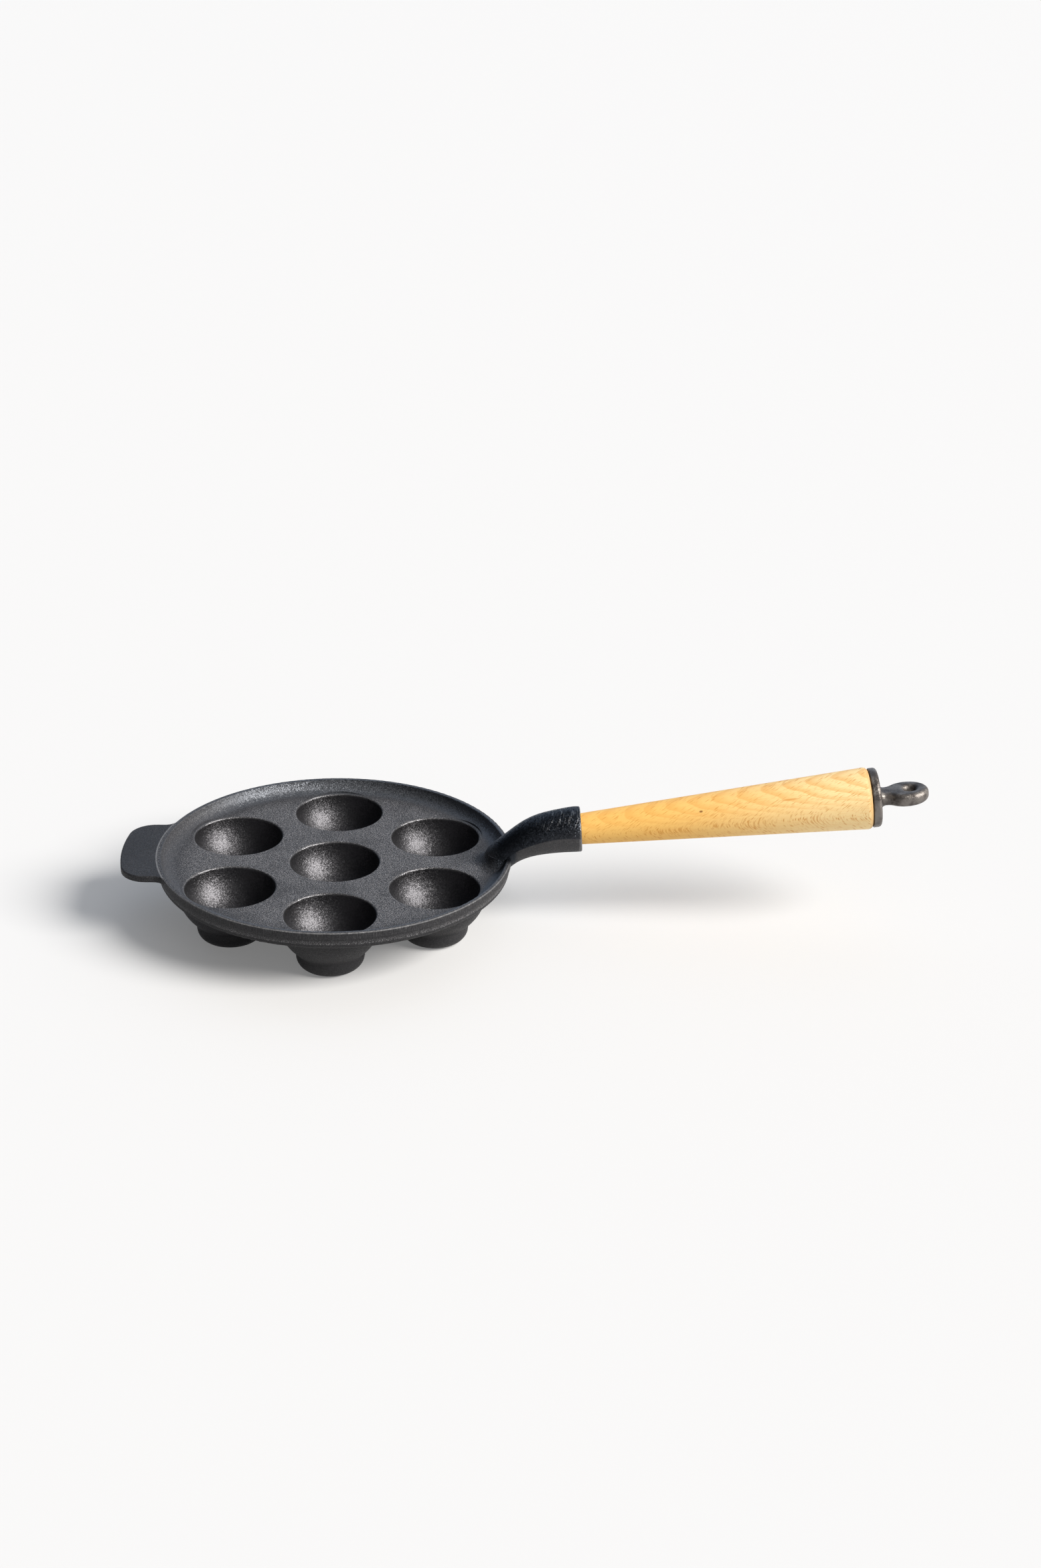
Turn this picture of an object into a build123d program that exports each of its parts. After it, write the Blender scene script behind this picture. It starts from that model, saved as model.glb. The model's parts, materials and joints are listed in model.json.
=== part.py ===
from build123d import *
import math
import os

# Cast-iron pan for round pancakes, with a turned wooden handle on a gooseneck, in millimetres.
# The origin is the middle of the pan on the surface that it stands on. +X points along the handle, +Z up.

# Tray and rim
rim_diameter = 230.0
pan_height = 43.1
tray_depth = 7.6
plate_thickness = 4.0
rim_top_width = 3.0
rim_cove_radius = 10.0
rim_edge_round = 0.8
band_height = 4.4
band_step = 0.6
skirt_height = 4.5
skirt_draft = 0.7
skirt_round = 2.0

# Wells and the bowls under them
well_count = 6
well_diameter = 58.1
well_pitch_radius = 75.25
well_centre_rise = 2.4
well_lip_round = 1.2
bowl_wall = 5.0
bowl_flare_radius = 3.0
foot_diameter = 43.4
foot_corner_round = 8.3
foot_root_round = 2.0

# A foot gives at most these shares of its height to the round of its corner and of its root
foot_corner_limit_share = 0.73
foot_root_limit_share = 0.25

# Helper tab opposite the handle
tab_reach = 22.8
tab_width = 77.6
tab_thickness = 4.4
tab_corner_radius = 17.0
tab_root_radius = 8.0
tab_edge_round = 1.0

# Gooseneck and its socket
neck_reach = 44.8
mouth_height = 59.8
mouth_diameter = 30.4
mouth_edge_round = 1.0
mouth_tilt = 4.0
neck_foot_inset = 9.0
neck_foot_width = 24.0
neck_foot_depth = 17.0
neck_flare_radius = 8.0
neck_flare_sink = 0.3
neck_flare_side_cover = 0.8
neck_flare_front_cover = 0.4
neck_flare_overlap = 0.2
neck_flare_lean = 1.3
neck_waist_diameter = 22.0
neck_waist_offset = 3.5
neck_waist_height = 48.2
neck_waist_tilt = 35.0
socket_depth = 17.0
socket_clearance = 0.1

# Each half of the neck's section is a little flatter than a half circle, so a parting line shows on its sides
neck_half_height_share = 0.96
neck_foot_section_shares = (0, 0.5)
neck_horn_section_shares = (0, 0.25, 0.5, 0.75, 1)
neck_flare_turn_shares = (0, 0.2, 0.42, 0.68, 1)

# Wooden handle
handle_tilt = 7.1
handle_length = 188.3
handle_small_diameter = 20.2
handle_big_diameter = 40.6
handle_end_round = 3.2
rod_bore_clearance = 0.35

# Tie rod
rod_diameter = 8.0
rod_thread_length = 14.0
rod_thread_spare = 1.5
rod_clearance = 0.05
rod_chamfer = 0.8

# End cap with its hanging eye
cap_diameter = 38.6
cap_edge_thickness = 5.4
cap_thickness = 6.2
cap_edge_round = 2.2
cap_back_round = 0.8
cap_reach = 38.0
cap_rod_depth = 7.0
eye_length = 29.0
eye_width = 24.2
eye_thickness = 8.9
eye_edge_round = 3.6
eye_hole_diameter = 6.8
eye_hole_setback = 12.0
eye_lip_round = 3.5
stem_width = 14.4
stem_side_round = 6.0
stem_root_round = 3.8

# How far a cutting solid runs past the face that it cuts
overrun = 1.0

# Places that follow from the sizes
rim_radius = rim_diameter / 2
floor_z = pan_height - tray_depth
under_z = floor_z - plate_thickness
plate_middle_z = (floor_z + under_z) / 2
well_sphere_radius = math.hypot(well_diameter / 2, well_centre_rise)
well_centre_z = floor_z + well_centre_rise
bowl_radius = well_sphere_radius + bowl_wall
mouth_centre = Vector(rim_radius + neck_reach, 0, mouth_height)
tilt = math.radians(handle_tilt)
handle_direction = Vector(math.cos(tilt), 0, math.sin(tilt))
handle_plane = Plane(origin=mouth_centre, x_dir=(0, 1, 0), z_dir=handle_direction)


def turned(face):
    """Turns a face drawn with x as radius and y as height about the Z axis."""
    return revolve(Plane.XZ * face, Axis.Z)


def rounded(face, points, radius):
    """Rounds the corners of a flat face that lie nearest to the given points."""
    corners = []
    for point in points:
        corners.append(min(face.vertices(), key=lambda corner: math.dist((corner.X, corner.Y), point)))
    return fillet(corners, radius)


def along_handle(shape):
    """Moves a shape made about the Z axis onto the handle's axis, with its zero at the socket's mouth."""
    return handle_plane.location * shape


def well_centres():
    """One well in the middle and a ring of wells round it, with two of them beside the neck."""
    step = math.tau / well_count
    angles = [step * (number + 1 / 2) for number in range(well_count)]
    ring = [(well_pitch_radius * math.cos(angle), well_pitch_radius * math.sin(angle)) for angle in angles]
    return [(0, 0)] + ring


def tray_plate():
    """The floor with its raised rim: a cove inside, a ground band and a drafted skirt outside."""
    top_inner = (rim_radius - rim_top_width, pan_height)
    top_outer = (rim_radius, pan_height)
    cove_run = math.sqrt(rim_cove_radius**2 - (rim_cove_radius - tray_depth) ** 2)
    cove_start = (top_inner[0] - cove_run, floor_z)
    band_foot = (rim_radius, pan_height - band_height)
    skirt_top = (rim_radius - band_step, pan_height - band_height - band_step)
    skirt_foot = (skirt_top[0] - skirt_draft, pan_height - band_height - skirt_height)
    under_corner = (skirt_foot[0], under_z)
    outline = [
        Line((0, floor_z), cove_start),
        TangentArc(cove_start, top_inner, tangent=(1, 0)),
        Polyline(top_inner, top_outer, band_foot, skirt_top, skirt_foot, under_corner, (0, under_z), (0, floor_z)),
    ]
    face = make_face(outline)
    face = rounded(face, [top_inner, top_outer], rim_edge_round)
    face = rounded(face, [under_corner], skirt_round)
    return turned(face)


def bowl():
    """The outside of one well below the plate: a part sphere, a flare into the plate and a round foot."""
    foot_radius = foot_diameter / 2
    root_z = well_centre_z - math.sqrt(bowl_radius**2 - foot_radius**2)
    flare_drop = well_centre_z - under_z + bowl_flare_radius
    flare_reach = math.sqrt((bowl_radius + bowl_flare_radius) ** 2 - flare_drop**2)
    touch_share = bowl_radius / (bowl_radius + bowl_flare_radius)
    flare_foot = (flare_reach * touch_share, well_centre_z - flare_drop * touch_share)
    flare_top = (flare_reach, under_z)
    middle_angle = (math.asin(foot_radius / bowl_radius) + math.atan2(flare_reach, flare_drop)) / 2
    side = (bowl_radius * math.sin(middle_angle), well_centre_z - bowl_radius * math.cos(middle_angle))
    foot_corner = (foot_radius, 0)
    foot_root = (foot_radius, root_z)
    corner_round = min(foot_corner_round, root_z * foot_corner_limit_share)
    root_round = min(foot_root_round, root_z * foot_root_limit_share)
    outline = [
        Polyline((0, plate_middle_z), (0, 0), foot_corner, foot_root),
        ThreePointArc(foot_root, side, flare_foot),
        TangentArc(flare_top, flare_foot, tangent=(-1, 0)),
        Polyline(flare_top, (flare_reach, plate_middle_z), (0, plate_middle_z)),
    ]
    face = make_face(outline)
    face = rounded(face, [foot_corner], corner_round)
    face = rounded(face, [foot_root], root_round)
    return turned(face)


def well_hollow():
    """The hollow of one well, a part sphere that opens through a rounded lip into the tray."""
    lip = (well_diameter / 2, floor_z)
    lip_end = well_diameter / 2 + 2 * well_lip_round
    bottom = (0, well_centre_z - well_sphere_radius)
    middle_angle = math.acos(well_centre_rise / well_sphere_radius) / 2
    side = (
        well_sphere_radius * math.sin(middle_angle),
        well_centre_z - well_sphere_radius * math.cos(middle_angle),
    )
    outline = [
        ThreePointArc(bottom, side, lip),
        Polyline(lip, (lip_end, floor_z), (lip_end, floor_z + overrun), (0, floor_z + overrun), bottom),
    ]
    return turned(rounded(make_face(outline), [lip], well_lip_round))


def helper_tab():
    """A flat tab level with the rim, its outer edge concentric with the pan and its roots filleted."""
    tab_radius = rim_radius + tab_reach
    half_width = tab_width / 2
    strip = Pos(-tab_radius / 2, 0) * Rectangle(tab_radius + overrun, tab_width)
    corner_x = -math.sqrt(tab_radius**2 - half_width**2)
    root_x = -math.sqrt(rim_radius**2 - half_width**2)
    blade = Circle(tab_radius) & strip
    blade = rounded(blade, [(corner_x, half_width), (corner_x, -half_width)], tab_corner_radius)
    blade = blade + Circle(rim_radius)
    blade = rounded(blade, [(root_x, half_width), (root_x, -half_width)], tab_root_radius)
    seat_radius = rim_radius - rim_top_width / 2
    root_centre_radius = rim_radius + tab_root_radius
    root_end_share = math.sqrt(1 - ((half_width + tab_root_radius) / root_centre_radius) ** 2)
    root_end_x = -rim_radius * root_end_share
    blade = (blade - Circle(seat_radius)) & Pos(root_end_x - tab_radius / 2, 0) * Rectangle(
        tab_radius, 2 * tab_radius
    )
    tab = extrude(blade, tab_thickness)
    middle_radius = (rim_radius + seat_radius) / 2
    edges = tab.edges().filter_by(Plane.XY)
    outer_edges = [edge for edge in edges if math.hypot(*tuple(edge.center())[:2]) > middle_radius]
    return Pos(0, 0, pan_height - tab_thickness) * fillet(outer_edges, tab_edge_round)


def neck_section(spine, share, half_width, half_depth):
    """One section of the neck, square to its spine: two shallow arcs that meet at the parting line."""
    plane = Plane(origin=spine @ share, x_dir=(0, 1, 0), z_dir=spine % share)
    upper = ThreePointArc((-half_width, 0), (0, half_depth), (half_width, 0))
    lower = ThreePointArc((half_width, 0), (0, -half_depth), (-half_width, 0))
    return plane * make_face([upper, lower])


def neck_horn():
    """The gooseneck before its socket is cut: it leaves the tray's corner upright and bends to the handle."""
    foot = Vector(rim_radius - neck_foot_inset, 0, under_z)
    waist = Vector(rim_radius + neck_waist_offset, 0, neck_waist_height)
    waist_angle = math.radians(neck_waist_tilt)
    waist_direction = Vector(math.cos(waist_angle), 0, math.sin(waist_angle))
    mouth_angle = math.radians(mouth_tilt)
    mouth_direction = Vector(math.cos(mouth_angle), 0, math.sin(mouth_angle))
    spine = Spline(foot, waist, mouth_centre, tangents=[Vector(0, 0, 1), waist_direction, mouth_direction])
    waist_share = spine.param_at_point(waist)
    waist_radius = neck_waist_diameter / 2
    sections = []
    for share in neck_foot_section_shares:
        slimming = (1 + math.cos(math.pi * share)) / 2
        half_width = waist_radius + (neck_foot_width / 2 - waist_radius) * slimming
        half_depth = waist_radius + (neck_foot_depth / 2 - waist_radius) * slimming
        sections.append(neck_section(spine, share * waist_share, half_width, half_depth))
    for share in neck_horn_section_shares:
        swelling = 1 - (1 - share) ** 2
        radius = waist_radius + (mouth_diameter / 2 - waist_radius) * swelling
        place = waist_share + (1 - waist_share) * share
        sections.append(neck_section(spine, place, radius, radius * neck_half_height_share))
    horn = loft(sections)
    mouth = horn.faces().sort_by(Axis.X)[-1]
    return fillet(mouth.edges(), mouth_edge_round)


def neck_flare():
    """The concave blend in front of the neck's foot: level U-shaped sections that shrink as a round fillet does."""
    middle_x = rim_radius - neck_foot_inset
    back_x = rim_radius - rim_top_width
    low_width = neck_foot_width / 2 + neck_flare_side_cover
    top_width = neck_waist_diameter / 2 - neck_flare_overlap
    low_depth = neck_foot_depth / 2 + neck_flare_front_cover
    top_depth = neck_foot_depth / 2 - neck_flare_lean
    sections = []
    for share in neck_flare_turn_shares:
        angle = math.pi / 2 * share
        rise_share = 1 - math.cos(angle)
        reach = neck_flare_radius * (1 - math.sin(angle))
        half_width = low_width + (top_width - low_width) * rise_share + reach
        depth = low_depth + (top_depth - low_depth) * rise_share + reach
        front = EllipticalCenterArc((middle_x, 0), depth, half_width, start_angle=90, arc_size=180)
        back = Polyline(
            (middle_x, -half_width), (back_x, -half_width), (back_x, half_width), (middle_x, half_width)
        )
        height = floor_z - neck_flare_sink + neck_flare_radius * rise_share
        sections.append(Pos(0, 0, height) * make_face([front, back]))
    return loft(sections)


def socket_hollow():
    """The socket for the wood and, in its floor, the tapped hole for the tie rod."""
    socket_radius = handle_small_diameter / 2 + socket_clearance
    socket = Pos(0, 0, -socket_depth) * Cylinder(
        socket_radius, socket_depth + overrun, align=(Align.CENTER, Align.CENTER, Align.MIN)
    )
    hole_depth = socket_depth + rod_thread_length + rod_thread_spare
    hole = Pos(0, 0, -hole_depth) * Cylinder(
        rod_diameter / 2 + rod_clearance, hole_depth, align=(Align.CENTER, Align.CENTER, Align.MIN)
    )
    return along_handle(socket + hole)


def pan_casting():
    """Tray, bowls, tab and gooseneck in one piece of cast iron."""
    casting = tray_plate() + helper_tab() + neck_flare() + neck_horn()
    for x, y in well_centres():
        casting = casting + Pos(x, y) * bowl()
    for x, y in well_centres():
        casting = casting - Pos(x, y) * well_hollow()
    return casting - socket_hollow()


def beech_handle():
    """A straight cone with a parallel end in the socket and a bore from end to end for the tie rod."""
    small_radius = handle_small_diameter / 2
    big_radius = handle_big_diameter / 2
    bore_radius = rod_diameter / 2 + rod_bore_clearance
    big_corner = (big_radius, handle_length)
    outline = Polyline(
        (bore_radius, -socket_depth),
        (small_radius, -socket_depth),
        (small_radius, 0),
        big_corner,
        (bore_radius, handle_length),
        close=True,
    )
    face = rounded(make_face(outline), [big_corner], handle_end_round)
    return along_handle(turned(face))


def tie_rod():
    """The rod that clamps the wood: its inner end in the tapped hole, its outer end in the cap."""
    radius = rod_diameter / 2
    low = -socket_depth - rod_thread_length
    high = handle_length + cap_rod_depth
    outline = Polyline(
        (0, low),
        (radius - rod_chamfer, low),
        (radius, low + rod_chamfer),
        (radius, high - rod_chamfer),
        (radius - rod_chamfer, high),
        (0, high),
        close=True,
    )
    return along_handle(turned(make_face(outline)))


def cap_disc():
    """The round disc against the wood, a shallow cone outside."""
    disc_radius = cap_diameter / 2
    back_corner = (disc_radius, 0)
    edge_corner = (disc_radius, cap_edge_thickness)
    outline = Polyline((0, 0), back_corner, edge_corner, (0, cap_thickness), close=True)
    face = rounded(make_face(outline), [edge_corner], cap_edge_round)
    face = rounded(face, [back_corner], cap_back_round)
    return turned(face)


def hanging_eye():
    """The flat eye to hang the pan by: an oval on a short stem, with round edges and a hole with deep lips."""
    centre_z = cap_reach - eye_length / 2
    corner_share = math.sqrt(1 - (stem_width / eye_width) ** 2)
    corner_z = centre_z - eye_length / 2 * corner_share
    stem = Pos(0, (cap_edge_thickness + 2 * centre_z) / 4) * Rectangle(
        stem_width, centre_z - cap_edge_thickness / 2
    )
    outline = Pos(0, centre_z) * Ellipse(eye_width / 2, eye_length / 2) + stem
    outline = rounded(outline, [(stem_width / 2, corner_z), (-stem_width / 2, corner_z)], stem_side_round)
    outline = outline - Pos(0, cap_reach - eye_hole_setback) * Circle(eye_hole_diameter / 2)
    eye = extrude(Plane.XZ * outline, eye_thickness / 2, both=True)
    hole_edges = [face.inner_wires()[0].edges() for face in flat_sides(eye)]
    eye = fillet(hole_edges[0] + hole_edges[1], eye_lip_round)
    rim_edges = [face.outer_wire().edges().sort_by(Axis.Z)[1:] for face in flat_sides(eye)]
    return fillet(rim_edges[0] + rim_edges[1], eye_edge_round)


def flat_sides(eye):
    """The two flat faces of the eye."""
    faces = eye.faces().filter_by(GeomType.PLANE).sort_by(Axis.Y)
    return faces[0], faces[-1]


def end_cap():
    """Disc and eye in one casting, filleted where they join, with a blind hole for the tie rod."""
    disc = cap_disc()
    eye = hanging_eye()
    cap = disc + eye
    cap = fillet(new_edges(disc, eye, combined=cap), stem_root_round)
    rod_hole = Cylinder(
        rod_diameter / 2 + rod_clearance, cap_rod_depth, align=(Align.CENTER, Align.CENTER, Align.MIN)
    )
    return along_handle(Pos(0, 0, handle_length) * (cap - rod_hole))


parts = {
    "pan_casting": pan_casting,
    "beech_handle": beech_handle,
    "tie_rod": tie_rod,
    "end_cap": end_cap,
}

os.makedirs("parts", exist_ok=True)
for name, make in parts.items():
    export_step(make(), f"parts/{name}.step")
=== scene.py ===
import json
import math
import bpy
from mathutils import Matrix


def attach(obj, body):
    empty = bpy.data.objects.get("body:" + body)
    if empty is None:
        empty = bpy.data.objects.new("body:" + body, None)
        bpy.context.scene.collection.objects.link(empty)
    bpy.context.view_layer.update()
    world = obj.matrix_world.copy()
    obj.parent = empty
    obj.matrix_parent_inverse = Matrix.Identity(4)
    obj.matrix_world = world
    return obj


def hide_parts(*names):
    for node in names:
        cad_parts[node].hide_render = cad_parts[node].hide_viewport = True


bl_info = {
    "name": "Cast-Iron Pancake Pan",
    "version": (1, 0, 0),
    "blender": (4, 5, 0),
    "location": "3D View > Sidebar > Pan",
    "description": "Finishes for a cast-iron pancake pan with a turned beech handle, and a plain studio",
    "category": "Object",
}

import bpy
import numpy as np
from bpy.props import FloatProperty, FloatVectorProperty, PointerProperty
from bpy.types import Operator, Panel, PropertyGroup
from mathutils import Matrix, Vector

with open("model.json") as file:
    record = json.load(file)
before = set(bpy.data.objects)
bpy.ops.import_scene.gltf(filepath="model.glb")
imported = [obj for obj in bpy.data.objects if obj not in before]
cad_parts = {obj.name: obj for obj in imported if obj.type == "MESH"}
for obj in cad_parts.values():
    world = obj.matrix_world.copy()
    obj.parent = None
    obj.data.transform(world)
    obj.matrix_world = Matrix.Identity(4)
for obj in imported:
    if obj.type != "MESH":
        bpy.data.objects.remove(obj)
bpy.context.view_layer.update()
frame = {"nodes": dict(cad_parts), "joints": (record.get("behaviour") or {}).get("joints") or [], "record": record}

MM = 0.001

# Places of the colours among the inputs and outputs of a Mix node, which has some of each kind.
MIX_FIRST, MIX_SECOND, MIX_RESULT = 6, 7, 2


def opening_centres(prefix):
    """Centres of the stated openings whose names start with prefix and end in a number."""
    centres = []
    for opening in frame["record"]["physics"]["openings"]:
        if opening["name"].startswith(prefix) and opening["name"][len(prefix) :].isdigit():
            low, high = opening["box_m"]
            centres.append((Vector(low) + Vector(high)) / 2)
    return centres


def joint(name):
    """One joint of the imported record."""
    return next(each for each in frame["joints"] if each["name"] == name)


class PanSizes(PropertyGroup):
    """Sizes of the casting that its finishes follow."""

    rim_radius: FloatProperty(
        name="Rim radius", description="Outer radius of the rim", default=115 * MM, unit="LENGTH"
    )
    rim_height: FloatProperty(
        name="Rim height", description="Top of the rim", default=43.1 * MM, unit="LENGTH"
    )
    band_height: FloatProperty(
        name="Band height", description="Height of the ground band", default=4.4 * MM, unit="LENGTH"
    )
    floor_height: FloatProperty(
        name="Floor height", description="Floor of the tray", default=35.5 * MM, unit="LENGTH"
    )
    well_radius: FloatProperty(
        name="Well radius",
        description="Radius of a well's part sphere",
        default=29.15 * MM,
        unit="LENGTH",
    )
    well_rise: FloatProperty(
        name="Well rise", description="Sphere centre above the floor", default=2.4 * MM, unit="LENGTH"
    )
    lip_width: FloatProperty(
        name="Lip width",
        description="How far a well's rounded lip reaches past its mouth",
        default=1.6 * MM,
        unit="LENGTH",
    )
    cove_radius: FloatProperty(
        name="Cove start",
        description="Radius where the cove leaves the floor",
        default=102.3 * MM,
        unit="LENGTH",
    )
    neck_crest: FloatVectorProperty(
        name="Neck crest",
        description="Highest point of the parting line",
        default=(155 * MM, 0, 59.8 * MM),
        subtype="TRANSLATION",
    )
    neck_bend: FloatProperty(
        name="Neck bend", description="How fast the parting line falls away, per metre", default=8.4
    )
    mouth: FloatProperty(
        name="Mouth",
        description="Where the neck's mouth is along the handle's direction",
        default=159 * MM,
        unit="LENGTH",
    )


class IronFinish(PropertyGroup):
    """Seasoned sand-cast iron."""

    colour: FloatVectorProperty(
        name="Iron",
        description="Colour of the matte floor",
        default=(0.059, 0.058, 0.061),
        subtype="COLOR",
        min=0,
        max=1,
    )
    # Also the colour of the painted shade in front of the cove, outside the tray and on the ground band.
    pit_and_shade_colour: FloatVectorProperty(
        name="Pits",
        description="Colour of its fine pits",
        default=(0.012, 0.012, 0.014),
        subtype="COLOR",
        min=0,
        max=1,
    )
    pale_colour: FloatVectorProperty(
        name="Pale grains",
        description="Colour of its paler grains",
        default=(0.26, 0.256, 0.266),
        subtype="COLOR",
        min=0,
        max=1,
    )
    well_colour: FloatVectorProperty(
        name="Well seasoning",
        description="Reflection of the seasoning in the wells",
        default=(0.074, 0.073, 0.078),
        subtype="COLOR",
        min=0,
        max=1,
    )
    cove_colour: FloatVectorProperty(
        name="Cove seasoning",
        description="Reflection of the seasoning on the cove",
        default=(0.125, 0.134, 0.15),
        subtype="COLOR",
        min=0,
        max=1,
    )
    neck_colour: FloatVectorProperty(
        name="Neck seasoning",
        description="Reflection of the seasoning on the neck",
        default=(0.026, 0.03, 0.037),
        subtype="COLOR",
        min=0,
        max=1,
    )
    thin_colour: FloatVectorProperty(
        name="Thin seasoning",
        description="Colour of the smooth underside of the neck",
        default=(0.045, 0.045, 0.049),
        subtype="COLOR",
        min=0,
        max=1,
    )
    # Also the colour of the painted highlight on the rim's outer edge and of the painted glints on the neck.
    worn_and_highlight_colour: FloatVectorProperty(
        name="Worn iron",
        description="Reflection of rubbed edges and scratches",
        default=(0.42, 0.42, 0.43),
        subtype="COLOR",
        min=0,
        max=1,
    )
    floor_roughness: FloatProperty(
        name="Floor roughness", description="Roughness of the matte floor", default=0.58, min=0, max=1
    )
    gloss_roughness: FloatProperty(
        name="Gloss roughness",
        description="Roughness of wells, cove and neck",
        default=0.43,
        min=0,
        max=1,
    )
    specular: FloatProperty(
        name="Specular", description="Strength of the matte iron's shine", default=0.3, min=0, max=1
    )
    peel_size: FloatProperty(
        name="Peel size",
        description="Width of the lumps in the seasoning",
        default=1.1 * MM,
        unit="LENGTH",
    )
    peel_depth: FloatProperty(
        name="Peel depth",
        description="Height of the lumps in the seasoning",
        default=0.14 * MM,
        unit="LENGTH",
    )
    sand_size: FloatProperty(
        name="Sand size",
        description="Width of the grains that the mould left",
        default=0.52 * MM,
        unit="LENGTH",
    )
    speck_size: FloatProperty(
        name="Speck size",
        description="Width of the dark and pale specks on the matte iron",
        default=0.6 * MM,
        unit="LENGTH",
    )
    cloud_size: FloatProperty(
        name="Cloud size",
        description="Width of the darker patches on the matte iron",
        default=24 * MM,
        unit="LENGTH",
    )
    gloss_tilt: FloatProperty(
        name="Glossy grain tilt",
        description="How far the grains lean where the seasoning is thick",
        default=0.31,
    )
    neck_tilt: FloatProperty(
        name="Neck grain tilt", description="How far the grains lean on the neck", default=0.7
    )
    cove_tilt: FloatProperty(
        name="Cove grain tilt", description="How much further the grains lean on the cove", default=0.12
    )
    matte_tilt: FloatProperty(
        name="Matte grain tilt", description="How far the grains lean on the matte iron", default=0.42
    )


class CapFinish(PropertyGroup):
    """Tumbled cap iron."""

    colour: FloatVectorProperty(
        name="Cap iron",
        description="Reflection of the cap",
        default=(0.2, 0.182, 0.168),
        subtype="COLOR",
        min=0,
        max=1,
    )
    dark_colour: FloatVectorProperty(
        name="Dark patches",
        description="Reflection of its darker patches",
        default=(0.085, 0.074, 0.068),
        subtype="COLOR",
        min=0,
        max=1,
    )
    roughness: FloatProperty(
        name="Roughness", description="Roughness of the cap", default=0.48, min=0, max=1
    )
    metal: FloatProperty(
        name="Metal", description="How far the cap reflects as bare metal", default=0.85, min=0, max=1
    )
    patch_size: FloatProperty(
        name="Patch size", description="Width of its darker patches", default=7 * MM, unit="LENGTH"
    )
    lump_size: FloatProperty(
        name="Lump size",
        description="Width of the lumps that tumbling left",
        default=2 * MM,
        unit="LENGTH",
    )
    lump_depth: FloatProperty(
        name="Lump depth",
        description="Height of the lumps that tumbling left",
        default=0.22 * MM,
        unit="LENGTH",
    )
    grain_size: FloatProperty(
        name="Grain size", description="Width of its grains", default=0.55 * MM, unit="LENGTH"
    )
    grain_tilt: FloatProperty(name="Grain tilt", description="How far its grains lean", default=0.28)


class BeechFinish(PropertyGroup):
    """Turned and oiled beech."""

    light_colour: FloatVectorProperty(
        name="Early wood",
        description="Light part of a growth ring",
        default=(0.93, 0.57, 0.162),
        subtype="COLOR",
        min=0,
        max=1,
    )
    # Painted light: the handle is painted paler towards its wide end.
    pale_colour: FloatVectorProperty(
        name="Pale end",
        description="Light wood at the wide end",
        default=(1.0, 0.8, 0.42),
        subtype="COLOR",
        min=0,
        max=1,
    )
    dark_colour: FloatVectorProperty(
        name="Late wood",
        description="Dark part of a growth ring",
        default=(0.80, 0.38, 0.08),
        subtype="COLOR",
        min=0,
        max=1,
    )
    fleck_colour: FloatVectorProperty(
        name="Fleck",
        description="Colour of the short ray flecks",
        default=(0.66, 0.25, 0.03),
        subtype="COLOR",
        min=0,
        max=1,
    )
    # Painted shade: the rounded wide end is painted darker, against the highlight that the lamp puts there.
    end_shade_colour: FloatVectorProperty(
        name="End grain",
        description="Colour of the cut end, which soaks up more oil",
        default=(0.5, 0.3, 0.12),
        subtype="COLOR",
        min=0,
        max=1,
    )
    knot_colour: FloatVectorProperty(
        name="Knot",
        description="Colour of the small knot",
        default=(0.20, 0.07, 0.015),
        subtype="COLOR",
        min=0,
        max=1,
    )
    end_radius: FloatProperty(
        name="End radius",
        description="Radius of the handle at its wide end",
        default=20.3 * MM,
        unit="LENGTH",
    )
    taper: FloatProperty(
        name="Taper", description="How fast the radius shrinks towards the pan", default=0.0542
    )
    ring_width: FloatProperty(
        name="Ring width", description="Distance between growth rings", default=1.15 * MM, unit="LENGTH"
    )
    ring_wander: FloatProperty(
        name="Ring wander",
        description="How far a growth ring strays from its plane",
        default=4.2 * MM,
        unit="LENGTH",
    )
    fleck_spacing: FloatProperty(
        name="Fleck spacing", description="Distance between flecks", default=1.4 * MM, unit="LENGTH"
    )
    knot_place: FloatVectorProperty(
        name="Knot place",
        description="Knot: along the handle, across it and up, from the middle of the wide end",
        default=(-110.3 * MM, -11.4 * MM, 8.6 * MM),
        subtype="TRANSLATION",
    )
    streak_place: FloatVectorProperty(
        name="Streak place",
        description="Brown streak, given in the same way",
        default=(-52.9 * MM, -13.3 * MM, 11.2 * MM),
        subtype="TRANSLATION",
    )
    roughness: FloatProperty(
        name="Roughness", description="Roughness of the oiled wood", default=0.52, min=0, max=1
    )
    specular: FloatProperty(
        name="Specular", description="Strength of the oiled wood's shine", default=0.3, min=0, max=1
    )
    pore_depth: FloatProperty(
        name="Pore depth", description="Depth of pores and flecks", default=0.03 * MM, unit="LENGTH"
    )


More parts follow.
